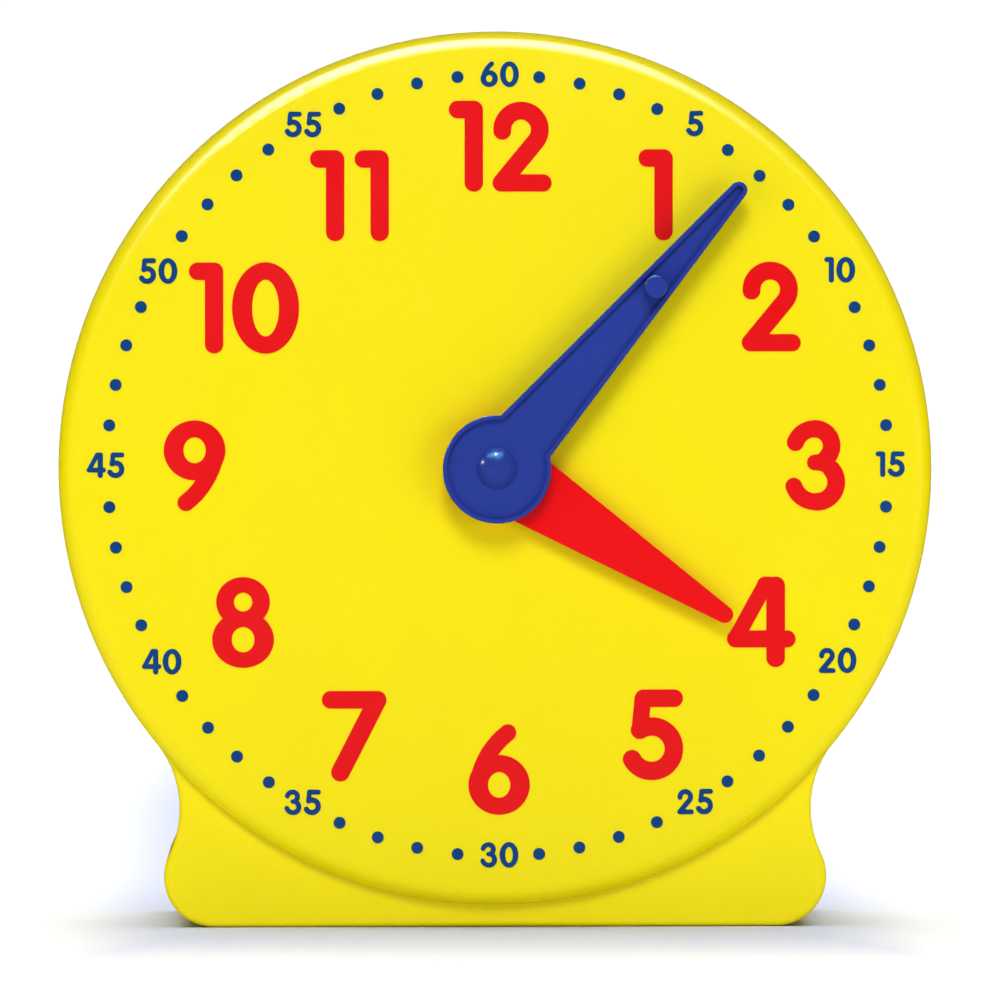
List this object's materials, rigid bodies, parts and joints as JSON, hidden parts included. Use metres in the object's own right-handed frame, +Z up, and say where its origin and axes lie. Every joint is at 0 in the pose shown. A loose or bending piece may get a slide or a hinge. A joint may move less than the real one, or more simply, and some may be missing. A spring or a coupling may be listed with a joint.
{
  "type": "geared teaching clock",
  "caption": "Student-size geared teaching clock on a fixed foot, with a finger-turned minute hand and an hour hand driven through a hidden gear train.",
  "frame": {"origin": "centre of the foot's underside, on the surface the clock stands on", "axes": "+Z up, +X to the reader's right, the dial faces -Y; the hands turn about a line along Y at z = 0.0654"},
  "size_m": [0.1244, 0.0385, 0.1276],
  "materials": {
    "case_yellow": "glossy moulded plastic",
    "hand_blue": "satin moulded plastic",
    "hand_red": "satin moulded plastic",
    "ink_red": "printed ink",
    "ink_blue": "printed ink",
    "gear_white": "natural acetal",
    "bridge_grey": "matte moulded plastic",
    "steel": "zinc plated steel"
  },
  "bodies": {
    "case": {"front_case": "case_yellow", "rear_case": "case_yellow", "case_screws": "steel", "dial_bush": "gear_white", "gear_bridge": "bridge_grey", "bridge_screws": "steel", "idler_axle": "steel", "friction_spring": "steel", "hour_numerals": "ink_red", "minute_numerals": "ink_blue", "minute_dots": "ink_blue"},
    "minute_works": {"minute_hand": "hand_blue", "minute_arbor": "gear_white", "thrust_washer": "gear_white", "hand_spacer": "gear_white", "hand_screw": "steel", "hub_cap": "hand_blue"},
    "hour_works": {"hour_hand": "hand_red", "hour_wheel": "gear_white"},
    "idler": {"idler_gear": "gear_white"}
  },
  "joints": [
    {"name": "minute_turn", "type": "hinge", "parent": "case", "child": "minute_works", "pos_m": [0, 0, 0.0654], "axis": [0, 1, 0], "continuous": true},
    {"name": "hour_turn", "type": "hinge", "parent": "case", "child": "hour_works", "pos_m": [0, 0, 0.0654], "axis": [0, 1, 0], "continuous": true},
    {"name": "idler_turn", "type": "hinge", "parent": "case", "child": "idler", "pos_m": [0, 0, 0.0504], "axis": [0, 1, 0], "continuous": true}
  ],
  "couplings": [
    {"joint": "hour_turn", "follows": "minute_turn", "ratio": 0.083333},
    {"joint": "idler_turn", "follows": "minute_turn", "ratio": -0.33333}
  ]
}
